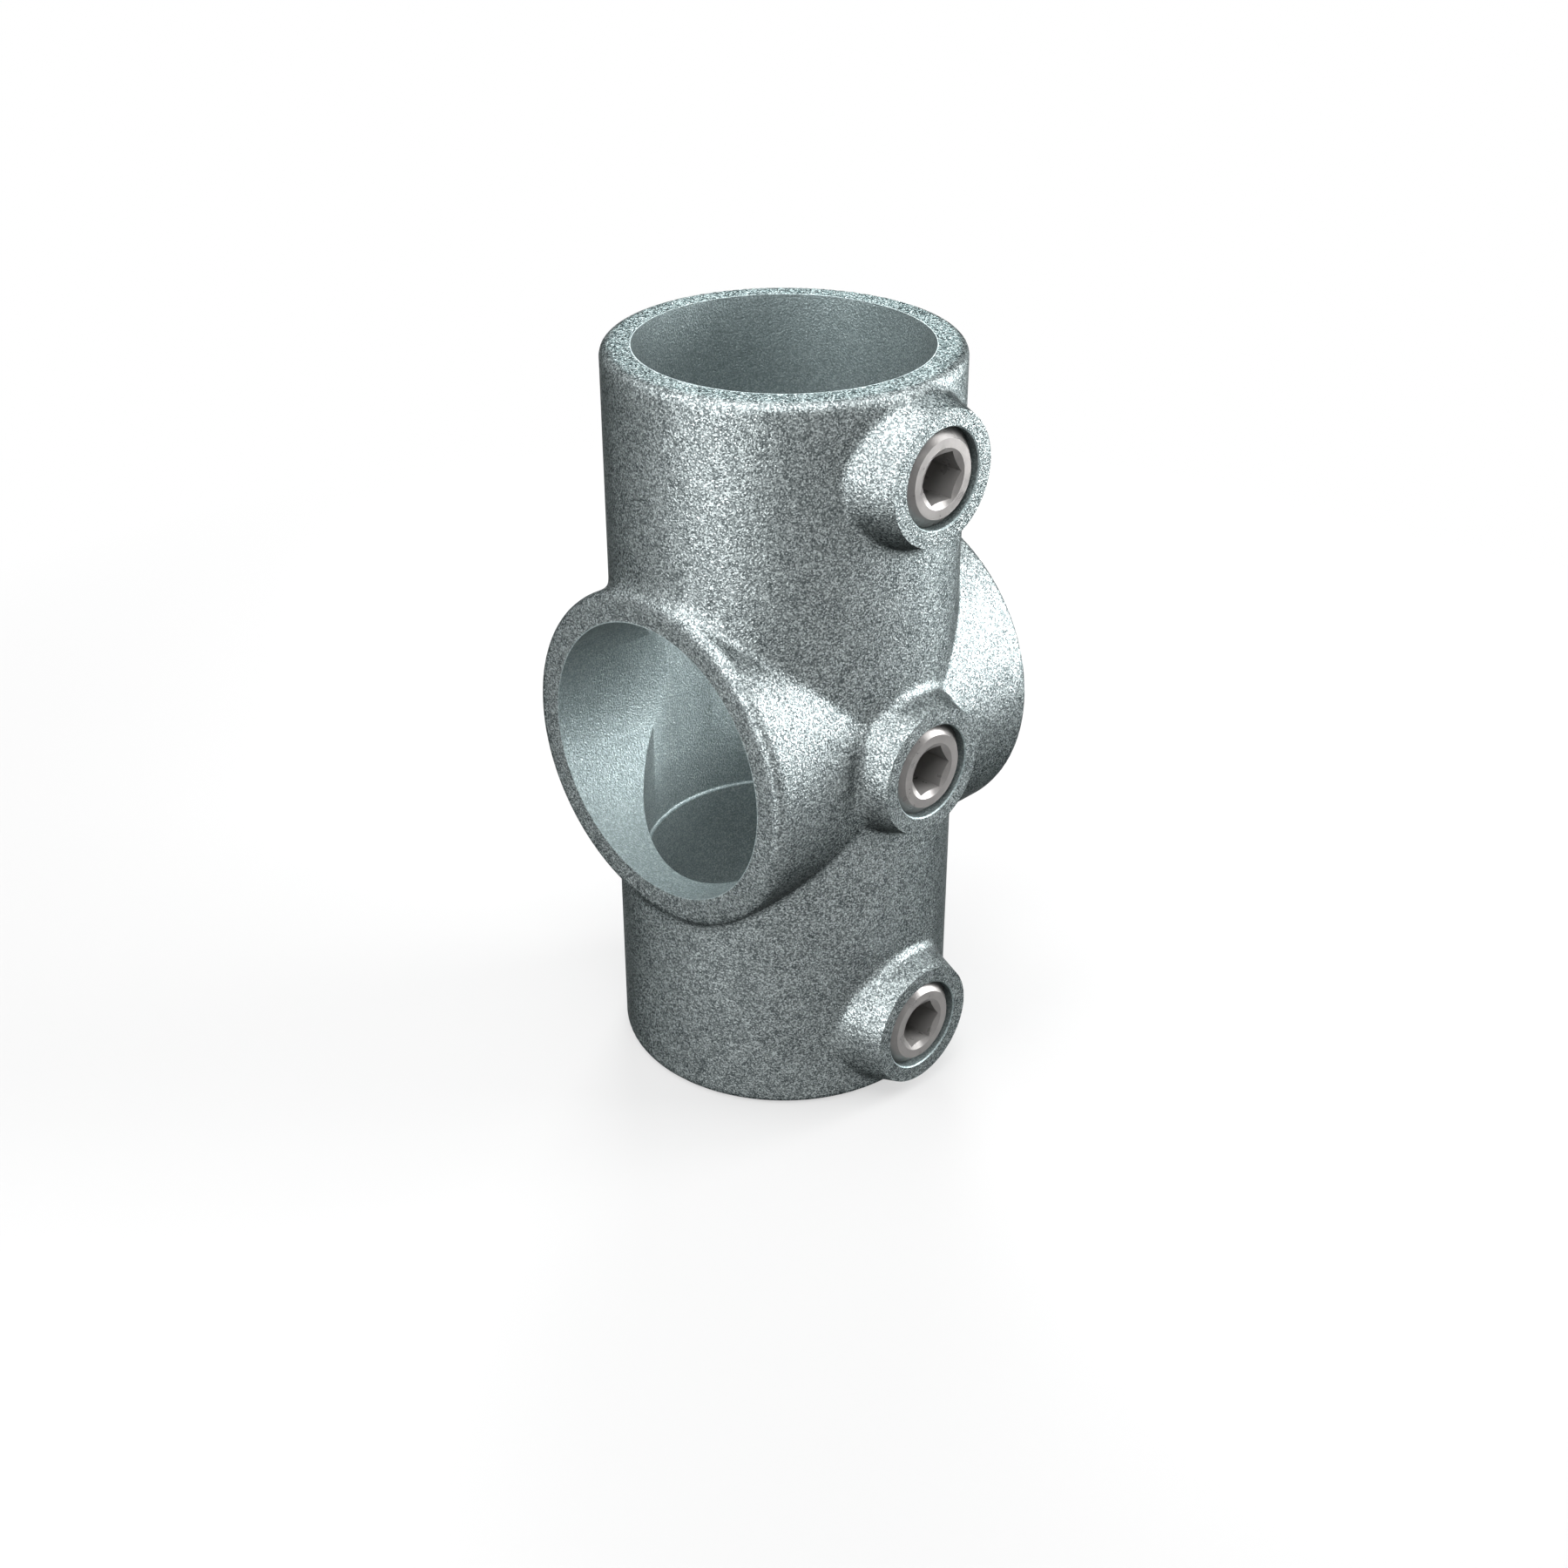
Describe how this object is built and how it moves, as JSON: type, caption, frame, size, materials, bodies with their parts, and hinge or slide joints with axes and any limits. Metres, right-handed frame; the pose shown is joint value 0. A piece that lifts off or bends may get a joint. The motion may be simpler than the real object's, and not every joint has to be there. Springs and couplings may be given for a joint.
{
  "type": "two socket cross tube clamp",
  "caption": "Cast cross fitting for tube: open sockets above and below a through sleeve, each tube held by a hexagon socket set screw in a conical boss.",
  "frame": {"origin": "where the axis of the two sockets crosses the axis of the sleeve", "axes": "+Z along the sockets towards the upper one, +Y along the sleeve, +X out of the faces of the three set screws"},
  "size_m": [0.0657, 0.0624, 0.133],
  "materials": {
    "galvanised_casting": "hot-dip galvanised, grainy cast skin",
    "screw_steel": "satin machined"
  },
  "bodies": {
    "casting": {"cross_body": "galvanised_casting"},
    "upper_screw": {"upper_set_screw": "screw_steel"},
    "middle_screw": {"middle_set_screw": "screw_steel"},
    "lower_screw": {"lower_set_screw": "screw_steel"}
  },
  "joints": [
    {"name": "upper_screw_travel", "type": "slide", "parent": "casting", "child": "upper_screw", "axis": [1, 0, 0], "range_m": [-0.0018, 0.004]},
    {"name": "middle_screw_travel", "type": "slide", "parent": "casting", "child": "middle_screw", "axis": [1, 0, 0], "range_m": [-0.0018, 0.004]},
    {"name": "lower_screw_travel", "type": "slide", "parent": "casting", "child": "lower_screw", "axis": [1, 0, 0], "range_m": [-0.0018, 0.004]}
  ]
}
